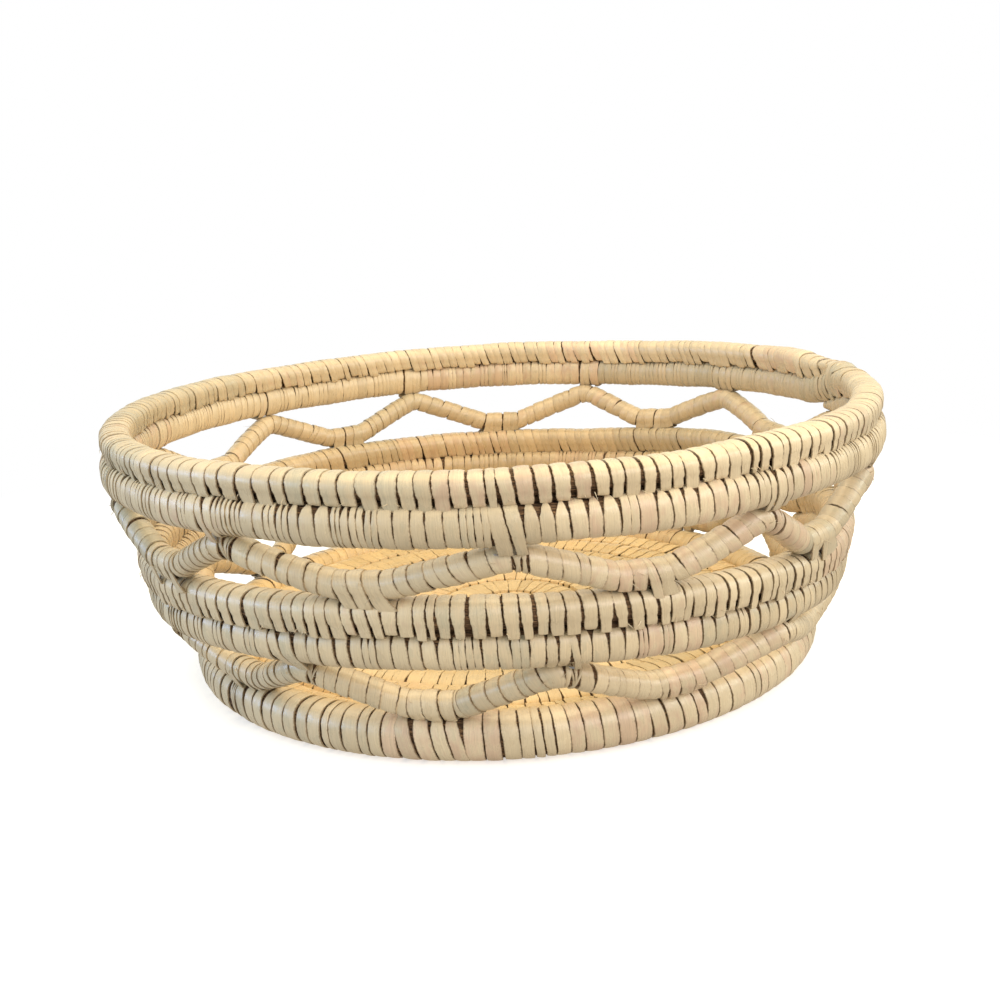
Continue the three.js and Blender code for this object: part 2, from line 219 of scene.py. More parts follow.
# Loose fibres: their shape, and ranges of where one starts, of its tip's reach along its coil, outwards and
# up or down, and of its bow
FIBRE_RINGS = 7
FIBRE_SIDES = 4
FIBRE_LENGTH = 8
FIBRE_TAPER = 0.7
FIBRE_THICKNESS = (0.12, 0.35)
FIBRE_TONE = (0.2, 0.8)
FIBRE_AGE = 0.5
FIBRES_AT_BEND = 3
BEND_FIBRE = ((-0.5, 0.5), (-5, 5), (0.3, 1.2), (-3, 3), (0.2, 0.7))
BEND_SPREAD = (-8, 8)
BEND_ROOT_IN, BEND_ROOT_SHARE = 0.1, 0.95
LEDGE_FIBRES = 130
LEDGE_FIBRE = ((0, 1.2), (-2.5, 2.5), (0.2, 0.9), (0.3, 2.4), (0.1, 0.5))
LEDGE_ROOT_IN = 0.5
OUTER_FIBRES = 0.7

# Stretches of a row, between two bearings, that are wrapped looser or tighter, or with a wider strip
Stretch = namedtuple("Stretch", "turn first last loose wide", defaults=[1.0])
LOWER, UPPER = 0, 1
RIM_LOOSE = (
    Stretch(UPPER, -96, -20, 3.1),
    Stretch(UPPER, -180, -125, 0.7),
    Stretch(UPPER, -140, -98, 0.8, 1.3),
    Stretch(UPPER, 20, 180, 0.3),
    Stretch(LOWER, -80, -20, 1.4),
    Stretch(LOWER, -130, -80, 0.6),
    Stretch(LOWER, -180, -130, 0.9),
    Stretch(LOWER, 20, 180, 0.3),
)
MIDDLE_LOOSE = (
    Stretch(UPPER, -180, -120, 1.5, 1.25),
    Stretch(UPPER, -112, -8, 2.6),
    Stretch(UPPER, 20, 170, 0.4),
    Stretch(LOWER, -180, -120, 2.2, 1.2),
    Stretch(LOWER, -120, -70, 1.2),
    Stretch(LOWER, -70, -8, 2.2),
    Stretch(LOWER, 20, 170, 0.4),
)
FOOT_LOOSE = (
    Stretch(LOWER, -72, 10, 2.8),
    Stretch(LOWER, -118, -72, 1.5),
    Stretch(LOWER, -180, -118, 2.0),
)
FOOT_FRAYED = [-143]  # bearings


def span(node):
    """Lowest and highest corner of a node, in millimetres."""
    return [np.array(tuple(corner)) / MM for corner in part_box(node)]


Bends = namedtuple("Bends", "names places")


def find_bends(kind):
    """Names and bearings, in radians, of the lashings at bends of one kind."""
    names = sorted(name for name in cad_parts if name.startswith(kind + "_lashing"))
    middles = [np.mean(span(name), axis=0) for name in names]
    return Bends(names, np.array([math.atan2(y, x) for x, y, _ in middles]))


def smooth_step(share):
    share = np.clip(share, 0, 1)
    return share * share * (3 - 2 * share)


def mix(first, second, share):
    return first + (second - first) * share


def wave(bearing, terms):
    total = np.zeros_like(bearing)
    for term in terms:
        if isinstance(term, Hump):
            away = np.angle(np.exp(1j * (bearing - math.radians(term.middle))))
            total = total + term.size * np.exp(-(away / math.radians(term.width)) ** 2)
        else:
            count, size, top = term
            total = total + size * np.cos(count * (bearing - math.radians(top)))
    return total


class Coil:
    """A wrapped coil: its middle line, the two axes of its section and their half sizes."""

    def __init__(self, middle, outward, half_out, half_up, closed, roundness=ROW_ROUNDNESS, level=0.0):
        step = np.linalg.norm(np.diff(middle, axis=0), axis=1)
        self.s = np.concatenate([[0], np.cumsum(step)])
        self.length = self.s[-1]
        self.closed = closed
        self.roundness = roundness
        self.levels = np.broadcast_to(level, self.s.shape)
        along = np.gradient(middle, axis=0)
        if closed:
            along[[0, -1]] = middle[1] - middle[-2]
        along /= np.linalg.norm(along, axis=1)[:, None]
        outward = outward - along * np.sum(outward * along, axis=1)[:, None]
        outward /= np.linalg.norm(outward, axis=1)[:, None]
        up = np.cross(outward, along)
        sizes = [np.broadcast_to(half, self.s.shape) for half in (half_out, half_up)]
        self.table = np.column_stack([middle, outward, up, *sizes])

    def at(self, s):
        """Middle, outward axis, up axis and half sizes at distances along the coil."""
        s = np.asarray(s, dtype=float)
        s = np.mod(s, self.length) if self.closed else np.clip(s, 0, self.length)
        values = np.stack([np.interp(s, self.s, column) for column in self.table.T], axis=-1)
        return values[..., 0:3], values[..., 3:6], values[..., 6:9], values[..., 9], values[..., 10]

    def level(self, s):
        """Which turn of a row, from 0 for the first to 1 for the second."""
        return np.interp(s, self.s, self.levels)

    def offsets(self, s, bearing):
        """How far, along the coil, places on it lie past a bearing."""
        middle = self.at(s)[0]
        turn = np.angle(np.exp(1j * (np.arctan2(middle[:, 1], middle[:, 0]) - bearing)))
        return turn * np.linalg.norm(middle[:, :2], axis=1)


def circle(bearing, radius, z):
    return np.column_stack([radius * np.cos(bearing), radius * np.sin(bearing), z])


def radial(bearing):
    return circle(bearing, 1, np.zeros_like(bearing))


def wound_row(radii, reach, half_out, lower_share, waves):
    """Two turns wound clockwise on each other. The first starts thin under the climb to the second, and the
    second thins out lying on that climb."""
    bottom, top = reach
    out_wave, up_wave = waves
    heights = np.array([lower_share, 1 - lower_share]) * (top - bottom - TURN_GAP)
    levels = np.array([bottom + heights[0] / 2, top - heights[1] / 2])
    zone = np.linspace(0, 1, int(math.radians(CLIMB_ANGLE) * radii[0] / SAMPLE_STEP))
    climbing = smooth_step(zone)
    under = mix(*(levels - heights / 2), climbing)
    over = mix(*(levels + heights / 2), climbing)

    room = under - TURN_GAP - bottom
    begun = room > TIP
    start_height = room[begun]
    start_part = [
        (zone[begun] - 1) * CLIMB_ANGLE,
        np.zeros_like(start_height),
        bottom + start_height / 2,
        start_height / 2,
    ]
    turned = np.linspace(0, 720 - CLIMB_ANGLE, int(4 * math.pi * radii[1] / SAMPLE_STEP))
    level = smooth_step((turned - 360 + CLIMB_ANGLE) / CLIMB_ANGLE)
    main_part = [turned, level, mix(*levels, level), mix(*heights, level) / 2]
    lasting = zone < END_SHARE
    end_height = mix(heights[1], END_TIP, zone[lasting] / END_SHARE)
    end_part = [
        720 - CLIMB_ANGLE + zone[lasting] * CLIMB_ANGLE,
        np.ones_like(end_height),
        over[lasting] + TURN_GAP + end_height / 2,
        end_height / 2,
    ]
    parts = zip(start_part, main_part, end_part)
    turned, level, z, half_up = (np.concatenate(part)[::-1] for part in parts)
    bearing = np.radians(ROW_START - turned)
    radius = mix(*radii, level) + wave(bearing, out_wave)
    fullness = half_up / (mix(*heights, level) / 2)
    middle = circle(bearing, radius, z + wave(bearing, up_wave))
    half_up = half_up * (1 + wave(np.radians(turned), SWELLING))
    half_out_along = half_out * mix(END_DEPTH, 1, fullness)
    coil = Coil(middle, radial(bearing), half_out_along, half_up, closed=False, level=level)

    tied = (zone > TIE_FIRST) & (zone < TIE_LAST)
    tip_top = np.where(lasting, over + TURN_GAP + mix(heights[1], END_TIP, zone / END_SHARE), over)[tied]
    tie_bearing = np.radians(ROW_START + (1 - zone[tied]) * CLIMB_ANGLE)[::-1]
    tie_z = ((tip_top + under[tied]) / 2)[::-1] + wave(tie_bearing, up_wave)
    tie_radius = mix(*radii, climbing[tied][::-1]) + wave(tie_bearing, out_wave)
    tie_half = ((tip_top - under[tied]) / 2)[::-1] + TIE_OVER
    tie_middle = circle(tie_bearing, tie_radius, tie_z)
    coil.tie = Coil(tie_middle, radial(tie_bearing), half_out + TIE_OVER, tie_half, closed=False)
    return coil


def closed_ring(radius, z, half_out, half_up, out_wave=LEVEL):
    bearing = np.linspace(0, 2 * math.pi, int(2 * math.pi * radius / SAMPLE_STEP))
    middle = circle(bearing, radius + wave(bearing, out_wave), np.full_like(bearing, z))
    return Coil(middle, radial(bearing), half_out, half_up, closed=True)


def zigzag_coil(crests, lower, upper, early_valley=None):
    """A closed coil that bends up to the row above at the crests and down to the row below between. A row is
    its radius, the height of the face that the bends touch, and its two waves. One valley may begin early."""
    crests = np.sort(crests)
    before = np.roll(crests, 1)
    before[0] -= 2 * math.pi
    lower_radius, lower_z, lower_out, lower_up = lower
    upper_radius, upper_z, upper_out, upper_up = upper
    crest_half = CREST_FLAT / 2 / upper_radius
    valley_half = VALLEY_FLAT / 2 / lower_radius
    valleys = (before + crests) / 2
    starts = valleys - valley_half
    if early_valley is not None:
        starts[np.argmin(np.abs(valleys - early_valley))] -= EARLY_BY / lower_radius
    knots, heights = [], []
    for start, valley, crest in zip(starts, valleys, crests):
        knots += [start, valley + valley_half, crest - crest_half, crest + crest_half]
        heights += [0, 0, 1, 1]
    knots.append(knots[0] + 2 * math.pi)
    heights.append(0)
    bearing = np.linspace(knots[0], knots[-1], int(2 * math.pi * upper_radius / SAMPLE_STEP))
    share = np.interp(bearing, knots, heights)
    reach = int(BEND_ROUNDING / SAMPLE_STEP)
    kernel = np.hanning(2 * reach + 3)[1:-1]
    kernel /= kernel.sum()
    wrapped = np.concatenate([share[-reach - 1:-1], share, share[1:reach + 1]])
    share = np.convolve(wrapped, kernel, mode="valid")
    low = lower_radius + wave(bearing, lower_out)
    high = upper_radius + wave(bearing, upper_out)
    radius = mix(low, high, LEAN_SHARE + (1 - 2 * LEAN_SHARE) * share)
    valley_z = lower_z + ZIGZAG_HALF_UP + wave(bearing, lower_up)
    crest_z = upper_z - ZIGZAG_HALF_UP + wave(bearing, upper_up)
    middle = circle(bearing, radius, mix(valley_z, crest_z, share))
    return Coil(middle, radial(bearing), ZIGZAG_HALF_OUT, ZIGZAG_HALF_UP, True, ZIGZAG_ROUNDNESS)


def floor_coil(inner, outer, z, half_up):
    """The flat spiral of the floor. Its section's outward axis is up, and its up axis points outwards."""
    turns = (outer - inner) / BASE_PITCH + 1
    first_turn = (TIP + TURN_GAP / 2) / BASE_PITCH
    last_turn = turns - (FLOOR_TIP + TURN_GAP / 2) / BASE_PITCH
    turn = np.linspace(first_turn, last_turn, int(math.pi * outer * turns / SAMPLE_STEP))
    edge = inner + BASE_PITCH * turn
    outside = np.minimum(outer, edge - TURN_GAP / 2)
    inside = np.maximum(inner, edge - BASE_PITCH + TURN_GAP / 2)
    half_width = (outside - inside) / 2
    thick = half_up * np.clip(mix(BASE_THIN, 1, half_width / (BASE_PITCH / 2)), 0, 1)
    middle = circle(-2 * math.pi * turn, (outside + inside) / 2, np.full_like(turn, z))
    upward = np.tile([0.0, 0.0, 1.0], (len(turn), 1))
    return Coil(middle, upward, thick, half_width, closed=False)


def seam_coil(coil, first, last):
    """Grass drawn in between a turn and the one under it, along one stretch of a coil."""
    s = np.arange(first, last, SAMPLE_STEP * 2)
    middle, outward, up, _, turn_half = coil.at(s)
    place = middle - up * (turn_half + TURN_GAP / 2)[:, None]
    return Coil(place, outward, SEAM_HALF_OUT, SEAM_HALF_UP, False, SEAM_ROUNDNESS)


def section(coil, half_out, half_up, angle):
    """Point and outward normal on a coil's section at some angles, for every band."""
    power = 2 / coil.roundness
    cos, sin = np.cos(angle), np.sin(angle)
    out = half_out[:, None] * np.sign(cos) * np.abs(cos) ** power
    up = half_up[:, None] * np.sign(sin) * np.abs(sin) ** power
    normal_out = np.sign(cos) * np.abs(cos) ** (2 - power) / half_out[:, None]
    normal_up = np.sign(sin) * np.abs(sin) ** (2 - power) / half_up[:, None]
    size = np.hypot(normal_out, normal_up)
    return np.stack([out, up], axis=-1), np.stack([normal_out / size, normal_up / size], axis=-1)


def top_pinch(bands, angle):
    """A band is drawn in where the turn above is threaded through beside it."""
    depth = np.where(angle > math.pi / 2, INSIDE_SHARE, 1) * bands["pinch"][:, None]
    return 1 - depth * np.exp(-(((angle - math.pi / 2) / PINCH_WIDTH) ** 2))


def loop_section(coil, bands, half_out, half_up):
    """Bands that go all the way round their coil."""
    angle = -math.pi / 2 + 2 * math.pi * np.arange(SECTION_POINTS) / SECTION_POINTS
    points, normals = section(coil, half_out, half_up, angle)
    return points, normals, top_pinch(bands, angle)


def stitch_section(coil, bands, half_out, half_up):
    """Bands whose two legs run past the coil and are threaded into the neighbour behind it."""
    angle = np.linspace(-STITCH_OVER, math.pi + STITCH_OVER, SECTION_POINTS)
    narrowing = ((angle - math.pi / 2) / (math.pi / 2 + STITCH_OVER)) ** 4
    narrowing = np.where(angle > math.pi / 2, INSIDE_SHARE, 1) * narrowing
    arc, arc_normals = section(coil, half_out, half_up, angle)
    arc_taper = top_pinch(bands, angle) * (1 - bands["narrow"][:, None] * narrowing)
    sides = ((0, 1, 1, "reach_out", "drift"), (-1, -1, INSIDE_SHARE, "reach_in", "inner_drift"))
    legs = []
    for end, side, share, reach_key, drift_key in sides:
        reach, drift = bands[reach_key], bands[drift_key]
        leg = arc[:, end].copy()
        leg[:, 0] += drift * LEG_DRIFT - side * bands["draw"] * LEG_DRAW
        leg[:, 1] = (leg[:, 1] - half_up - reach) / 2
        ledge = arc[:, end].copy()
        ledge[:, 0] += drift - side * (bands["draw"] + LEDGE_IN)
        ledge[:, 1] = -half_up - reach
        turned = ledge - [side * TURNED_IN, TURNED_DOWN]
        hidden = turned - [side * HIDDEN_IN, HIDDEN_DOWN]
        points = np.stack([leg, ledge, turned, hidden], axis=1)
        facing = [[side, 0.0], [side, 0.0], [side * CORNER_OUT, -CORNER_DOWN], [0.0, -1.0]]
        taper = (1 - bands["narrow"][:, None] * share) * LEG_TAPER
        legs.append((points, np.tile(facing, (len(reach), 1, 1)), taper))
    parts = zip(legs[0], (arc, arc_normals, arc_taper), legs[1])
    return [np.concatenate([outer[:, ::-1], over, inner], axis=1) for outer, over, inner in parts]


# A strip's section: places across its width, their depth, and which ones its crown lifts
ACROSS = np.array([-0.5, -0.49, -0.2, 0.2, 0.49, 0.5])
ACROSS_DEPTH = np.array([-STRIP_THICKNESS, 0, 0, 0, 0, -STRIP_THICKNESS])
ACROSS_CROWN = np.array([0, 0, 1, 1, 0, 0])


def band_mesh(coil, bands, stitched):
    """Vertices, faces and leaf attributes of many bands on one coil."""
    _, _, _, half_out, half_up = coil.at(bands["s"])
    find_section = stitch_section if stitched else loop_section
    points, normals, taper = find_section(coil, bands, half_out, half_up)
    inside = points[..., 0] < 0
    count, rings, columns = points.shape[0], points.shape[1], len(ACROSS)
    height_share = points[..., 1] / half_up[:, None]
    out_share = points[..., 0] / half_out[:, None]
    crowding = 1 + INSIDE_CROWDING * np.clip(-out_share, 0, 1)
    crown = mix(INNER_CROWN, OUTER_CROWN, np.clip(0.5 + out_share / 2, 0, 1))
    drawn = -bands["slant"][:, None] * height_share
    if stitched:
        leaning = -bands["slant"][:, None] - bands["inner_slant"][:, None] * (1 - height_share)
        drawn = np.where(inside, leaning, drawn)
    drawn = drawn + bands["bow"][:, None] * np.sin(BOW_WAVE * height_share + bands["seed"][:, None])
    width = bands["width"][:, None] * taper * crowding
    step = np.linalg.norm(np.diff(points, axis=1, prepend=points[:, :1]), axis=-1)
    length = np.cumsum(step, axis=1)[..., None]
    seed = bands["seed"][:, None, None]
    s = bands["s"][:, None, None] + drawn[..., None] + width[..., None] * ACROSS
    ripples = [np.sin(along * length + own * seed + skew * ACROSS) for along, own, skew in RIPPLES]
    s = s + RAGGED * sum(ripples)
    height = ACROSS_DEPTH + crown[..., None] * ACROSS_CROWN
    height = height + bands["lift"][:, None, None] + bands["tilt"][:, None, None] * ACROSS
    middle, outward, up, _, _ = coil.at(s)
    local = points[:, :, None, :] + normals[:, :, None, :] * height[..., None]
    verts = middle + outward * local[..., :1] + up * local[..., 1:]
    index = np.arange(count * rings * columns).reshape(count, rings, columns)
    following = np.roll(index, -1, axis=1)
    quads = np.stack([index, following, np.roll(following, -1, axis=2), np.roll(index, -1, axis=2)], axis=-1)
    rows = slice(None, -1) if stitched else slice(None)
    faces = [tuple(quad) for quad in quads[:, rows].reshape(-1, 4).tolist()]
    if stitched:
        faces += [tuple(cap) for cap in index[:, 0].tolist()]
        faces += [tuple(cap[::-1]) for cap in index[:, -1].tolist()]
    strip = np.stack([np.broadcast_to(part, s.shape) for part in (length, ACROSS * 2, seed)], axis=-1)
    looks = [bands[key][:, None, None] for key in ("tone", "hue", "age")]
    leaf = np.stack([np.broadcast_to(part, s.shape) for part in looks], axis=-1)
    return verts.reshape(-1, 3), faces, strip.reshape(-1, 3), leaf.reshape(-1, 3)


# What every band has none of until its coil sets it
UNSET = ("pinch", "narrow", "reach_out", "reach_in", "drift", "inner_drift", "draw")


def stretch_at(coil, s, stretches):
    """The last listed stretch of a row that a place on it belongs to, if any."""
    x, y, _ = coil.at(s)[0]
    bearing = math.degrees(math.atan2(y, x))
    turn = round(float(coil.level(s)))
    found = None
    for stretch in stretches:
        if stretch.first < bearing < stretch.last and stretch.turn == turn:
            found = stretch
    return found


def lay_bands(coil, lay, stretches=(), start=0.0, end=None):
    """Places and looks of the bands along one coil. Bands cut from one leaf follow each other and look
    alike."""
    rows = []
    left_of_leaf = 0
    at = start
    end = coil.length if end is None else end
    while at < end - lay.pitch * LEAST_CUT:
        if left_of_leaf == 0:
            left_of_leaf = int(RANDOM.integers(*LEAF_BANDS))
            tone, hue, age = RANDOM.normal(*LEAF_TONE), RANDOM.random(), RANDOM.random()
            own_looseness = RANDOM.uniform(*(TIGHT if RANDOM.random() < TIGHT_SHARE else LOOSE))
            pull = RANDOM.uniform(*PULL)
        left_of_leaf -= 1
        stretch = stretch_at(coil, at, stretches)
        looseness = stretch.loose * pull if stretch else own_looseness
        wide = stretch.wide if stretch else 1.0
        cut = RANDOM.uniform(*(NARROW_CUT if RANDOM.random() < NARROW_SHARE else USUAL_CUT))
        width = lay.pitch * wide * cut
        gap = lay.least + lay.gap * looseness * RANDOM.gamma(GAP_EVENNESS, 1 / GAP_EVENNESS)
        if RANDOM.random() < lay.wide_share:
            gap += looseness * RANDOM.uniform(*WIDER_BY)
        gap = min(gap, WIDEST_GAP)
        rows.append((at + width / 2, width, tone, hue, age))
        at += width + gap
    s, width, tone, hue, age = np.array(rows).T
    count = len(s)
    slant = RANDOM.normal(lay.slant, SPREAD["slant"], count)
    scale = coil.length / at if coil.closed else 1.0
    looks = {"tone": tone, "hue": hue, "age": age}
    return {
        "s": s * scale,
        "width": width * scale,
        **{key: np.clip(look + RANDOM.normal(0, SPREAD[key], count), 0, 1) for key, look in looks.items()},
        "seed": RANDOM.uniform(*SEEDS, count),
        "lift": RANDOM.normal(0, SPREAD["lift"], count),
        "tilt": RANDOM.normal(lay.tilt, SPREAD["tilt"], count),
        "slant": slant,
        "inner_slant": -slant,
        "bow": RANDOM.normal(0, SPREAD["bow"], count),
        **{key: np.zeros(count) for key in UNSET},
    }


def pick(bands, mask):
    return {key: value[mask] for key, value in bands.items()}


def join(*groups):
    return {key: np.concatenate([group[key] for group in groups]) for key in groups[0]}


def split_bands(bands, share):
    """Some bands are torn lengthwise in two by what is threaded through them."""
    torn = RANDOM.random(len(bands["s"])) < share
    whole = pick(bands, ~torn)
    halves = []
    for side in (-1, 1):
        half = pick(bands, torn)
        half["s"] = half["s"] + side * half["width"] / 4
        half["width"] = half["width"] / 2
        halves.append(half)
    return join(whole, *halves)


def sliver_bands(bands, count):
    """Narrow torn strips, lying askew where a whole band is missing."""
    slivers = []
    for _ in range(count):
        sliver = pick(bands, slice(None))
        places = len(sliver["s"])
        sliver["s"] = sliver["s"] + RANDOM.uniform(*SLIVER_SHIFT, places) * sliver["width"]
        for key, reach in SLIVER.items():
            sliver[key] = RANDOM.uniform(*reach, places)
        slivers.append(sliver)
    return join(*slivers)


def add_object(name, data):
    made = bpy.data.objects.new(name, data)
    bpy.context.scene.collection.objects.link(made)
    return made


def make_piece(name, meshes, slot, *nodes):
    """One mesh object of several (vertices, faces, strip, leaf) parts, in the place of some nodes."""
    verts, _, strips, leaves = zip(*meshes)
    faces = []
    offset = 0
    for part_verts, part_faces, _, _ in meshes:
        faces += [tuple(corner + offset for corner in face) for face in part_faces]
        offset += len(part_verts)
    mesh = bpy.data.meshes.new(name)
    mesh.from_pydata((np.concatenate(verts) * MM).tolist(), [], faces)
    for label, values in (("strip", strips), ("leaf", leaves)):
        attribute = mesh.attributes.new(label, "FLOAT_VECTOR", "POINT")
        attribute.data.foreach_set("vector", np.concatenate(values).astype(np.float32).ravel())
    mesh.polygons.foreach_set("use_smooth", np.ones(len(mesh.polygons), dtype=bool))
    mesh.set_sharp_from_angle(angle=SHARP_ANGLE)
    mesh.materials.append(MATERIALS[slot])
    mesh.update()
    piece = add_object(name, mesh)
    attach(piece, "root")
    if nodes:
        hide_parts(*nodes)


def make_coil(name, leaf, grass):
    """The leaf and the grass of one coil, in the place of its two solids."""
    make_piece(name + "_leaf", leaf, "leaf_wrap", name + "_wrap")
    make_piece(name + "_grass", grass, "grass_core", name + "_core")


def core_mesh(coil, strands=ROW_STRANDS):
    """The grass bundle under the leaf: a tube whose skin is ribbed by twisting stems."""
    count = int(coil.length / CORE_STEP)
    s = np.linspace(0, coil.length, count, endpoint=not coil.closed)
    sides = strands * SIDES_PER_STRAND
    angle = 2 * math.pi * np.arange(sides) / sides
    middle, outward, up, half_out, half_up = coil.at(s)
    points, normals = section(coil, half_out, half_up, angle)
    twist = s[:, None] * STEM_TWIST
    wander = np.sin(s[:, None] * RIB_WANDER)
    rib = np.abs(np.sin(strands / 2 * angle[None, :] + twist * RIB_TWISTS + wander))
    points = points - normals * (CORE_INSET + RIB_DEPTH * (1 - rib))[..., None]
    verts = middle[:, None] + outward[:, None] * points[..., :1] + up[:, None] * points[..., 1:]
    index = np.arange(count * sides).reshape(count, sides)
    following = np.roll(index, -1, axis=0)
    quads = np.stack([following, np.roll(following, -1, axis=1), np.roll(index, -1, axis=1), index], axis=-1)
    rows = slice(None) if coil.closed else slice(None, -1)
    faces = [tuple(quad) for quad in quads[rows].reshape(-1, 4).tolist()]
    if not coil.closed:
        faces += [tuple(index[0].tolist()), tuple(index[-1, ::-1].tolist())]
    around = np.broadcast_to(angle[None], rib.shape) + twist
    strip = np.stack([np.broadcast_to(s[:, None], rib.shape), around, rib], axis=-1)
    return verts.reshape(-1, 3), faces, strip.reshape(-1, 3), np.zeros((count * sides, 3))


def fibre_mesh(root, tip, bow):
    """A loose fibre: a thin tapering tube bowed away from the straight line."""
    thickness = RANDOM.uniform(*FIBRE_THICKNESS)
    count = FIBRE_RINGS * FIBRE_SIDES
    share = np.linspace(0, 1, FIBRE_RINGS)[:, None]
    path = mix(root, tip, share) + bow * (share * (1 - share) * 4)
    along = np.gradient(path, axis=0)
    along /= np.linalg.norm(along, axis=1)[:, None]
    askew = [0.3, 0.2, 1.0]
    side = np.cross(along, askew)
    side /= np.linalg.norm(side, axis=1)[:, None]
    other = np.cross(along, side)
    angle = 2 * math.pi * np.arange(FIBRE_SIDES) / FIBRE_SIDES
    radius = thickness / 2 * (1 - FIBRE_TAPER * share)
    ring = np.cos(angle)[None, :, None] * side[:, None] + np.sin(angle)[None, :, None] * other[:, None]
    verts = path[:, None] + ring * radius[:, :, None]
    index = np.arange(count).reshape(FIBRE_RINGS, FIBRE_SIDES)
    around = np.roll(index, -1, axis=1)
    quads = np.stack([index[:-1], around[:-1], around[1:], index[1:]], axis=-1).reshape(-1, 4)
    faces = [tuple(quad) for quad in quads.tolist()]
    faces += [tuple(index[0, ::-1].tolist()), tuple(index[-1].tolist())]
    strip = np.zeros((count, 3))
    strip[:, 0] = np.repeat(share[:, 0] * FIBRE_LENGTH, FIBRE_SIDES)
    strip[:, 2] = RANDOM.uniform(*SEEDS)
    leaf = np.tile([RANDOM.uniform(*FIBRE_TONE), RANDOM.random(), FIBRE_AGE], (count, 1))
    return verts.reshape(-1, 3), faces, strip, leaf


def srgb(red, green, blue):
    """A colour as it is seen on screen, 0 to 255, as linear RGBA."""
    channels = np.array([red, green, blue]) / 255
    linear = np.where(channels <= 0.04045, channels / 12.92, ((channels + 0.055) / 1.055) ** 2.4)
    return (*linear.tolist(), 1.0)


# Colours as they are seen, with their places where a ramp holds them
LEAF_COLOURS = (
    (0.0, srgb(211, 201, 172)),
    (0.35, srgb(226, 208, 173)),
    (0.75, srgb(233, 217, 183)),
    (1.0, srgb(226, 200, 170)),
)
# Painted warm shade: a darker orange that the inner faces take, more of it lower down under the rim
INNER_WARM_SHADE = srgb(184, 148, 90)
# Painted warm light: the floor's leaf, near the basket's axis, is made brighter and warmer
FLOOR_WARM_LIGHT = srgb(251, 218, 152)
STAINED_LEAF = srgb(178, 146, 108)
# Partly the leaf's darker cut edge, partly painted shade of the gaps between bands
CUT_EDGE_AND_SHADE = srgb(112, 85, 56)
STEM_COLOURS = (
    (0.3, srgb(38, 26, 17)),
    (0.48, srgb(84, 60, 40)),
    (0.64, srgb(166, 132, 94)),
    (0.76, srgb(70, 48, 32)),
)

# Where painted shade and light on the leaf change, in metres: heights on inner faces, and distances from the
# basket's axis
INNER_SHADE_FROM, INNER_SHADE_TO = 0.05, 0.09
FLOOR_FROM, FLOOR_TO = 0.118, 0.108


class Nodes:
    """Short calls for building the node tree of a material or a world."""

    def __init__(self, owner):
        owner.use_nodes = True
        self.tree = owner.node_tree
        self.tree.nodes.clear()

    def add(self, kind, **settings):
        made = self.tree.nodes.new("ShaderNode" + kind)
        for key, value in settings.items():
            setattr(made, key, value)
        return made

    def put(self, made, **inputs):
        for key, value in inputs.items():
            socket = made.inputs[int(key[1:]) if key[1:].isdigit() else key.replace("_", " ")]
            if isinstance(value, bpy.types.NodeSocket):
                self.tree.links.new(value, socket)
            else:
                socket.default_value = value
        return made

    def math(self, operation, first, second=0.0):
        made = self.add("Math", operation=operation)
        return self.put(made, i0=first, i1=second).outputs[0]

    def times(self, first, second):
        return self.math("MULTIPLY", first, second)

    def blend(self, share, first, second):
        made = self.add("MixShader")
        return self.put(made, i0=share, i1=first.outputs[0], i2=second.outputs[0])

    def spread(self, value, low, high, to_low, to_high):
        made = self.add("MapRange")
        return self.put(made, i0=value, i1=low, i2=high, i3=to_low, i4=to_high).outputs[0]

    def mix(self, share, first, second, blend="MIX"):
        made = self.add("Mix", data_type="RGBA", blend_type=blend)
        return self.put(made, i0=share, i6=first, i7=second).outputs[2]

    def noise(self, vector, scale, detail=2.0, roughness=0.5):
        made = self.add("TexNoise")
        return self.put(made, Vector=vector, Scale=scale, Detail=detail, Roughness=roughness).outputs["Fac"]

    def ramp(self, value, *stops):
        made = self.add("ValToRGB")
        elements = made.color_ramp.elements
        while len(elements) < len(stops):
            elements.new(0.5)
        for element, (position, colour) in zip(elements, stops):
            element.position = position
            element.color = colour
        return self.put(made, i0=value).outputs[0]

    def attribute(self, name):
        made = self.add("Attribute", attribute_type="GEOMETRY", attribute_name=name)
        split = self.put(self.add("SeparateXYZ"), i0=made.outputs["Vector"])
        return split.outputs[0], split.outputs[1], split.outputs[2]

    def vector(self, x, y, z):
        return self.put(self.add("CombineXYZ"), i0=x, i1=y, i2=z).outputs[0]

    def grain(self, length, across, seed, along_scale, across_scale):
        """A place on a strip, drawn out along it or across it."""
        return self.vector(self.times(length, along_scale), self.times(across, across_scale), seed)


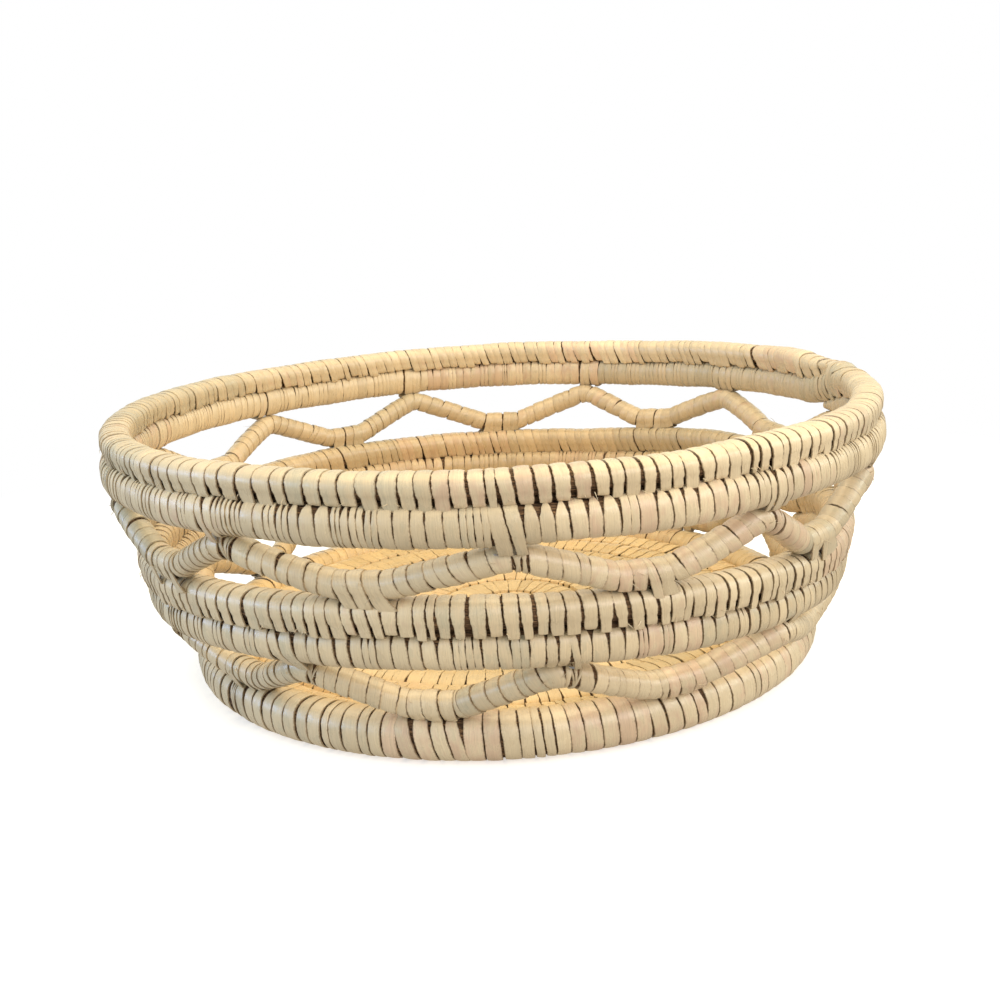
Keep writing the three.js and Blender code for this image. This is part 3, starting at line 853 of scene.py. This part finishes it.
def leaf_material(name):
    material = bpy.data.materials.new(name)
    n = Nodes(material)
    length, across, seed = n.attribute("strip")
    tone, hue, age = n.attribute("leaf")
    fibres = n.noise(n.grain(length, across, seed, 0.05, 3.2), 3.0, 4.0, 0.6)
    veins = n.noise(n.grain(length, across, seed, 0.02, 9.0), 2.0, 2.0)
    patches = n.noise(n.grain(length, across, seed, 0.12, 0.5), 1.6, 3.0)
    patchy_hue = n.math("ADD", hue, n.spread(patches, 0.3, 0.7, -0.18, 0.18))
    colour = n.ramp(patchy_hue, *LEAF_COLOURS)
    place = n.put(n.add("SeparateXYZ"), i0=n.add("NewGeometry").outputs["Position"])
    level_place = n.vector(place.outputs[0], place.outputs[1], 0.0)
    outwards = n.put(n.add("VectorMath", operation="NORMALIZE"), i0=level_place)
    facing = n.add("VectorMath", operation="DOT_PRODUCT")
    n.put(facing, i0=outwards.outputs[0], i1=n.add("NewGeometry").outputs["Normal"])
    inward = n.spread(facing.outputs["Value"], 0.3, -0.5, 0.0, 1.0)
    # Painted warm shade: inward faces are mixed towards a darker orange, up to half low down and less higher
    # up
    inner_shade_share = n.spread(place.outputs[2], INNER_SHADE_FROM, INNER_SHADE_TO, 0.5, 0.14)
    colour = n.mix(n.times(inward, inner_shade_share), colour, INNER_WARM_SHADE)
    from_axis = n.put(n.add("VectorMath", operation="LENGTH"), i0=level_place)
    # Painted warm light: near the axis the leaf is mixed towards a brighter, warmer colour
    on_floor = n.spread(from_axis.outputs["Value"], FLOOR_FROM, FLOOR_TO, 0.0, 1.0)
    colour = n.mix(n.times(on_floor, 0.45), colour, FLOOR_WARM_LIGHT)
    inside = n.math("MAXIMUM", inward, on_floor)
    brightness = n.spread(tone, 0, 1, 0.82, 1.08)
    brightness = n.times(brightness, n.spread(fibres, 0.25, 0.75, 0.87, 1.08))
    shade = n.times(brightness, n.spread(veins, 0.3, 0.7, 0.92, 1.05))
    colour = n.mix(1.0, colour, n.vector(shade, shade, shade), "MULTIPLY")
    stain = n.times(n.spread(patches, 0.6, 0.8, 0, 0.35), age)
    colour = n.mix(stain, colour, STAINED_LEAF)
    # Strips darken at their edges: partly the leaf's cut edge, partly painted shade between bands; less on
    # inner faces and the floor
    outline = n.spread(inside, 0.0, 0.8, 0.7, 0.15)
    nick_place = n.vector(n.times(length, 0.7), n.math("SIGN", across), seed)
    edge_start = n.spread(n.noise(nick_place, 2.0, 3.0), 0.3, 0.7, 0.72, 0.98)
    edge = n.times(n.spread(n.math("ABSOLUTE", across), edge_start, 1.0, 0, 1), outline)
    colour = n.mix(edge, colour, CUT_EDGE_AND_SHADE)
    bump = n.add("Bump")
    relief = n.math("ADD", n.times(fibres, 0.6), n.times(veins, 0.4))
    n.put(bump, Strength=0.4, Distance=0.0003, Height=relief)
    roughness = n.spread(patches, 0.3, 0.7, 0.2, 0.4)
    shader = n.add("BsdfPrincipled")
    n.put(shader, Base_Color=colour, Roughness=roughness, Normal=bump.outputs[0], Specular_IOR_Level=0.75)
    n.put(n.add("OutputMaterial"), Surface=shader.outputs[0])
    return material


def grass_material():
    material = bpy.data.materials.new("grass_core")
    n = Nodes(material)
    length, around, rib = n.attribute("strip")
    stems = n.noise(n.grain(length, around, 0.0, 0.12, 6.0), 2.2, 4.0, 0.65)
    colour = n.ramp(stems, *STEM_COLOURS)
    # Painted shade: the grooves between the ribbed stems are made darker
    depth = n.spread(rib, 0, 1, 0.5, 1.0)
    colour = n.mix(1.0, colour, n.vector(depth, depth, depth), "MULTIPLY")
    bump = n.put(n.add("Bump"), Strength=0.6, Distance=0.0004, Height=stems)
    shader = n.add("BsdfPrincipled")
    n.put(shader, Base_Color=colour, Roughness=n.spread(stems, 0, 1, 0.75, 0.95), Normal=bump.outputs[0])
    n.put(n.add("OutputMaterial"), Surface=shader.outputs[0])
    return material


MATERIALS = {
    "leaf_wrap": leaf_material("leaf_wrap"),
    "lashing_leaf": leaf_material("lashing_leaf"),
    "grass_core": grass_material(),
}

# Rows and their sizes, from the solids
rim_low, rim_high = span("rim_band_wrap")
middle_low, middle_high = span("middle_band_wrap")
foot_low, foot_high = span("foot_ring_wrap")
base_low, base_high = span("base_coil_wrap")
upper_low, upper_high = span("upper_zigzag_wrap")
lower_low, lower_high = span("lower_zigzag_wrap")
knot_low, knot_high = span("base_knot")

rim_radius = (rim_high[0] - rim_low[0]) / 2 - RIM_HALF_OUT
middle_radius = (middle_high[0] - middle_low[0]) / 2 - MIDDLE_HALF_OUT
lower_middle_radius = middle_radius - MIDDLE_STEP_IN
foot_radius = (foot_high[0] - foot_low[0]) / 2 - FOOT_HALF
base_outer = foot_radius - FOOT_HALF + FLOOR_TUCK
base_inner = (knot_high[0] - knot_low[0]) / 2
base_middle = (base_high[2] + base_low[2]) / 2
base_half = (base_high[2] - base_low[2]) / 2

upper_crests = find_bends("upper_crest")
lower_crests = find_bends("lower_crest")
upper_valleys = find_bends("upper_valley")
lower_valleys = find_bends("lower_valley")

rim_radii = [rim_radius + RIM_STEP_OUT, rim_radius]
rim_reach = rim_low[2], rim_high[2]
rim = wound_row(rim_radii, rim_reach, RIM_HALF_OUT, RIM_LOWER_SHARE, (RIM_OUT, RIM_UP))
middle_radii = [lower_middle_radius, middle_radius]
middle_reach = middle_low[2], middle_high[2]
middle = wound_row(middle_radii, middle_reach, MIDDLE_HALF_OUT, MIDDLE_LOWER_SHARE, (MIDDLE_OUT, MIDDLE_UP))
foot = closed_ring(foot_radius, foot_high[2] / 2, FOOT_HALF, FOOT_HALF, FOOT_OUT)
upper_zigzag = zigzag_coil(
    upper_crests.places,
    (middle_radius, upper_low[2], MIDDLE_OUT + UPPER_BULGE, MIDDLE_UP),
    (rim_radius, upper_high[2], RIM_OUT + UPPER_BULGE, RIM_UP),
)
lower_zigzag = zigzag_coil(
    lower_crests.places,
    (foot_radius, lower_low[2], FOOT_OUT + LOWER_BULGE, LEVEL),
    (lower_middle_radius, lower_high[2], MIDDLE_OUT + LOWER_BULGE, MIDDLE_UP),
    EARLY_VALLEY,
)
floor_spiral = floor_coil(base_inner, base_outer, base_middle, base_half)


def upper_turn_end(coil):
    """How far along its coil a row's second turn lies."""
    return coil.s[coil.level(coil.s) > UPPER_LEVEL].max()


def some_of(share, first, second, count):
    """Random values, a share of them from the first range and the others from the second."""
    chosen = RANDOM.random(count) < share
    return np.where(chosen, RANDOM.uniform(*first, count), RANDOM.uniform(*second, count))


def near_bends(coil, bands, places, half_length):
    """Which bands lie at any of some bends."""
    near = np.zeros(len(bands["s"]), dtype=bool)
    for place in places:
        near |= np.abs(coil.offsets(bands["s"], place)) < half_length
    return near


def lash(coil, bands, bends, half_length):
    """The bands at each bend, one lashing for each."""
    for name, place in zip(*bends):
        stitches = pick(bands, near_bends(coil, bands, [place], half_length))
        make_piece(name + "_leaf", [band_mesh(coil, stitches, stitched=True)], "lashing_leaf", name)


def dress_wound_row(name, coil, crests, drift, valleys_above, loose):
    """A row of two turns: the upper one is stitched to the lower, which holds the zigzag's crests."""
    bands = join(lay_bands(coil, END_LAY, end=END_LENGTH), lay_bands(coil, ROW_LAY, loose, start=END_LENGTH))
    count = len(bands["s"])
    lower = coil.level(bands["s"]) < 0.5
    threaded = near_bends(coil, bands, valleys_above, VALLEY_FLAT / 2) & ~lower
    bands["pinch"] = np.where(lower, some_of(DRAWN_SHARE, DRAWN_IN, BARELY_DRAWN, count), 0.0)
    bands["pinch"][threaded] = RANDOM.uniform(*THREADED_PINCH, threaded.sum())
    bands["slant"][threaded] += THREADED_SLANT
    bands["narrow"] = np.where(lower, 0, some_of(NOTCHED_SHARE, NOTCH, BARELY_NOTCHED, count))
    for key in ("reach_out", "reach_in"):
        bands[key] = RANDOM.uniform(*STITCH_REACH, count)
    bands["draw"] = np.full(count, STITCH_DRAW)
    bands["inner_slant"] = RANDOM.normal(*INNER_SLANT, count)
    for key, value in THIN_END.items():
        bands[key][bands["s"] < TIED_LENGTH] = value
    holding = near_bends(coil, bands, crests.places, CREST_HALF) & lower
    leaf = [
        band_mesh(coil, split_bands(pick(bands, lower & ~holding), TORN_SHARE), stitched=False),
        band_mesh(coil, pick(bands, ~lower), stitched=True),
        band_mesh(coil.tie, lay_bands(coil.tie, TIE_LAY), stitched=False),
    ]
    seam = seam_coil(coil, 0, upper_turn_end(coil))
    make_coil(name, leaf, [core_mesh(coil), core_mesh(seam, SEAM_STRANDS)])
    stitches = pick(bands, holding)
    held = holding.sum()
    hanging = RANDOM.random(held) < HANGING_SHARE
    least, most = np.transpose([SHORT_HOLD, LONG_HOLD])
    short_reach, long_reach = RANDOM.uniform(least, most, (held, 2)).T
    stitches["reach_out"] = np.where(hanging, long_reach, short_reach)
    stitches["reach_in"] = RANDOM.uniform(*HOLD_INSIDE, held)
    stitches["inner_slant"] = -stitches["slant"]
    stitches["slant"][hanging] += HANGING_SLANT
    stitches["drift"][:] = drift
    stitches["inner_drift"][:] = HOLD_DRIFT
    stitches["draw"][:] = 0
    stitches["narrow"] = RANDOM.uniform(*HOLD_NARROW, held)
    lash(coil, stitches, crests, CREST_HALF)


def dress_zigzag(name, coil, valleys, crests, drift, long_share):
    """A zigzag: loops all along it, and stitches down into the row below in its valleys."""
    bands = lay_bands(coil, ZIGZAG_LAY)
    count = len(bands["s"])
    left_out = np.zeros(count, dtype=bool)
    for crest in crests.places[np.sin(crests.places) < 0]:
        left_out[np.argmin(np.abs(coil.offsets(bands["s"], crest) - MISSING_OFFSET))] = True
    threading = near_bends(coil, bands, valleys.places, VALLEY_HALF)
    long_stitch = RANDOM.random(count) < long_share
    long_reach, short_reach = RANDOM.uniform(*LONG_REACH, count), RANDOM.uniform(*SHORT_REACH, count)
    bands["reach_out"] = np.where(long_stitch, long_reach, short_reach)
    bands["reach_in"] = RANDOM.uniform(*INNER_REACH, count)
    bands["slant"][long_stitch] += LONG_SLANT
    bands["drift"][:] = drift
    bands["narrow"] = RANDOM.uniform(*ZIGZAG_NARROW, count)
    loops = join(pick(bands, ~threading & ~left_out), sliver_bands(pick(bands, left_out), SLIVERS))
    make_coil(name, [band_mesh(coil, loops, stitched=False)], [core_mesh(coil, ZIGZAG_STRANDS)])
    lash(coil, pick(bands, threading), valleys, VALLEY_HALF)


def loose_fibres(coil, places):
    """A few fibres that stick out of a zigzag's bends."""
    start, along, out, rise, bow = BEND_FIBRE
    meshes = []
    for place in places:
        at_bend = coil.s[np.argmin(np.abs(coil.offsets(coil.s, place)))]
        for _ in range(FIBRES_AT_BEND):
            s = at_bend + RANDOM.uniform(*BEND_SPREAD)
            (here, ahead), (outward, _), (up, _), (half_out, _), (half_up, _) = coil.at([s, s + 1])
            root = here + outward * (half_out - BEND_ROOT_IN) * BEND_ROOT_SHARE
            root = root + up * half_up * RANDOM.uniform(*start)
            tip = root + (ahead - here) * RANDOM.uniform(*along) + outward * RANDOM.uniform(*out)
            tip = tip + up * RANDOM.uniform(*rise)
            meshes.append(fibre_mesh(root, tip, outward * RANDOM.uniform(*bow)))
    return meshes


def ledge_fibres(coil):
    """Short fibres torn loose where the upper turn's stitches go into the turn below."""
    start, along, out, fall, bow = LEDGE_FIBRE
    meshes = []
    for s in RANDOM.uniform(TIED_LENGTH, upper_turn_end(coil), LEDGE_FIBRES):
        (here, ahead), (outward, _), (up, _), (half_out, _), (half_up, _) = coil.at([s, s + 1])
        outward = outward * (1 if RANDOM.random() < OUTER_FIBRES else -1)
        root = here + outward * (half_out - LEDGE_ROOT_IN) - up * (half_up - RANDOM.uniform(*start))
        tip = root + (ahead - here) * RANDOM.uniform(*along) - up * RANDOM.uniform(*fall)
        tip = tip + outward * RANDOM.uniform(*out)
        meshes.append(fibre_mesh(root, tip, outward * RANDOM.uniform(*bow)))
    return meshes


dress_wound_row("rim_band", rim, upper_crests, RIM_DRIFT, (), RIM_LOOSE)
dress_wound_row("middle_band", middle, lower_crests, MIDDLE_DRIFT, upper_valleys.places, MIDDLE_LOOSE)
dress_zigzag("upper_zigzag", upper_zigzag, upper_valleys, upper_crests, UPPER_DRIFT, UPPER_LONG)
dress_zigzag("lower_zigzag", lower_zigzag, lower_valleys, lower_crests, LOWER_DRIFT, LOWER_LONG)

foot_bands = lay_bands(foot, FOOT_LAY, FOOT_LOOSE)
foot_threaded = near_bends(foot, foot_bands, lower_valleys.places, VALLEY_FLAT / 2 + FOOT_MARGIN)
foot_bands["pinch"][foot_threaded] = RANDOM.uniform(*FOOT_PINCH, foot_threaded.sum())
foot_bands["slant"][foot_threaded] += FOOT_SLANT
frayed = near_bends(foot, foot_bands, np.radians(FOOT_FRAYED), FRAYED_HALF)
foot_bands = join(pick(foot_bands, ~frayed), sliver_bands(pick(foot_bands, frayed), FRAYED_SLIVERS))
make_coil("foot_ring", [band_mesh(foot, foot_bands, stitched=False)], [core_mesh(foot, FOOT_STRANDS)])

base_bands = lay_bands(floor_spiral, FLOOR_LAY)
base_bands["pinch"][:] = FLOOR_PINCH
for key in ("reach_out", "reach_in"):
    base_bands[key] = RANDOM.uniform(*FLOOR_REACH, len(base_bands["s"]))
base_leaf = [band_mesh(floor_spiral, base_bands, stitched=True)]
floor_seam = seam_coil(floor_spiral, SEAM_START, floor_spiral.length)
make_coil("base_coil", base_leaf, [core_mesh(floor_spiral), core_mesh(floor_seam, SEAM_STRANDS)])

knot_ring = closed_ring(base_inner / 2, base_middle, base_inner / 2, base_half)
knot_lay = FLOOR_LAY._replace(pitch=knot_ring.length / KNOT_TURNS)
knot_bands = lay_bands(knot_ring, knot_lay)
make_piece("base_knot_leaf", [band_mesh(knot_ring, knot_bands, stitched=False)], "lashing_leaf", "base_knot")

fibres = loose_fibres(upper_zigzag, [*upper_crests.places, *upper_valleys.places])
fibres += loose_fibres(lower_zigzag, [*lower_crests.places, *lower_valleys.places])
fibres += ledge_fibres(rim) + ledge_fibres(middle)
make_piece("loose_fibres", fibres, "lashing_leaf")


# Lamps, light all round and the paper floor, in metres
Lamp = namedtuple("Lamp", "name place size power colour")
LAMPS = (
    Lamp("front", (0.62, -0.95, 0.56), 0.6, 4.7, (1.0, 0.83, 0.78)),
    Lamp("right", (1.2, -0.1, 0.5), 0.5, 3.3, (0.95, 0.98, 0.86)),
    Lamp("left front", (-1.15, -0.5, 0.24), 0.4, 2.6, (0.3, 0.6, 1.0)),
    Lamp("left", (-1.2, 0.1, 0.22), 0.4, 2.7, (0.42, 0.58, 1.0)),
    Lamp("above", (0.05, -0.05, 0.75), 0.9, 5.0, (1.0, 0.74, 0.4)),
)
LAMP_TARGET = Vector((0, 0, 0.05))
SKY_COLOUR = (0.94, 0.98, 0.92, 1.0)
SKY_STRENGTH = 0.8
WHITE = (1.0, 1.0, 1.0, 1.0)
PAPER_SIZE = 4.0
PAPER_DROP = 0.0005
PAPER_NEAR, PAPER_FAR = 0.2, 0.45
PAPER_COLOUR = (0.84, 0.84, 0.84, 1.0)
PAPER_GLOW = 0.5
BOUNCE_COLOUR = (0.52, 0.44, 0.34, 1.0)


def make_camera():
    camera = add_object("camera", bpy.data.cameras.new("camera"))
    camera.data.sensor_width = SENSOR_WIDTH
    camera.data.lens = SENSOR_WIDTH * FOCAL_PIXELS / FRAME_PIXELS
    camera.data.shift_x = (FRAME_PIXELS / 2 - PRINCIPAL_POINT[0]) / FRAME_PIXELS
    camera.data.shift_y = (PRINCIPAL_POINT[1] - FRAME_PIXELS / 2) / FRAME_PIXELS
    place = Matrix.Translation((0, -CAMERA_DISTANCE * MM, CAMERA_HEIGHT * MM))
    pitch = Matrix.Rotation(math.radians(90 - CAMERA_PITCH), 4, "X")
    roll = Matrix.Rotation(math.radians(-CAMERA_ROLL), 4, "Z")
    camera.matrix_world = place @ pitch @ roll
    bpy.context.scene.camera = camera


def make_lamp(lamp):
    light = bpy.data.lights.new(lamp.name, "AREA")
    light.size = lamp.size
    light.energy = lamp.power
    light.color = lamp.colour
    piece = add_object(lamp.name, light)
    piece.location = lamp.place
    piece.rotation_euler = (LAMP_TARGET - Vector(lamp.place)).to_track_quat("-Z", "Y").to_euler()


def make_world():
    world = bpy.data.worlds.new("studio")
    bpy.context.scene.world = world
    n = Nodes(world)
    seen = n.add("LightPath").outputs["Is Camera Ray"]
    light = n.put(n.add("Background"), Color=SKY_COLOUR, Strength=SKY_STRENGTH)
    white = n.put(n.add("Background"), Color=WHITE, Strength=1.0)
    n.put(n.add("OutputWorld"), Surface=n.blend(seen, light, white).outputs[0])


def make_floor():
    """White paper: it takes the shadow near the basket and runs out to plain white further off. It can be
    looked through from below."""
    mesh = bpy.data.meshes.new("floor")
    corners = [(x * PAPER_SIZE, y * PAPER_SIZE, 0) for x, y in ((-1, -1), (1, -1), (1, 1), (-1, 1))]
    mesh.from_pydata(corners, [], [(0, 1, 2, 3)])
    material = bpy.data.materials.new("floor")
    n = Nodes(material)
    camera_ray = n.add("LightPath").outputs["Is Camera Ray"]
    distance = n.put(n.add("VectorMath", operation="LENGTH"), i0=n.add("NewGeometry").outputs["Position"])
    far = n.spread(distance.outputs["Value"], PAPER_NEAR, PAPER_FAR, 0.0, 1.0)
    paper = n.put(n.add("BsdfDiffuse"), Color=PAPER_COLOUR)
    glow = n.put(n.add("Emission"), Strength=PAPER_GLOW)
    near_paper = n.put(n.add("AddShader"), i0=paper.outputs[0], i1=glow.outputs[0])
    white = n.put(n.add("Emission"), Strength=1.0)
    # Painted bounce light: to all rays but the camera's the paper takes no light and glows this warm colour
    # instead, under the basket too
    bounce = n.put(n.add("Emission"), Color=BOUNCE_COLOUR, Strength=1.0)
    from_above = n.blend(camera_ray, bounce, n.blend(far, near_paper, white))
    below = n.add("NewGeometry").outputs["Backfacing"]
    one_sided = n.blend(below, from_above, n.add("BsdfTransparent"))
    n.put(n.add("OutputMaterial"), Surface=one_sided.outputs[0])
    mesh.materials.append(material)
    floor = add_object("floor", mesh)
    floor.location.z = -PAPER_DROP


make_camera()
for lamp in LAMPS:
    make_lamp(lamp)
make_world()
make_floor()
bpy.context.scene.view_settings.view_transform = "Standard"
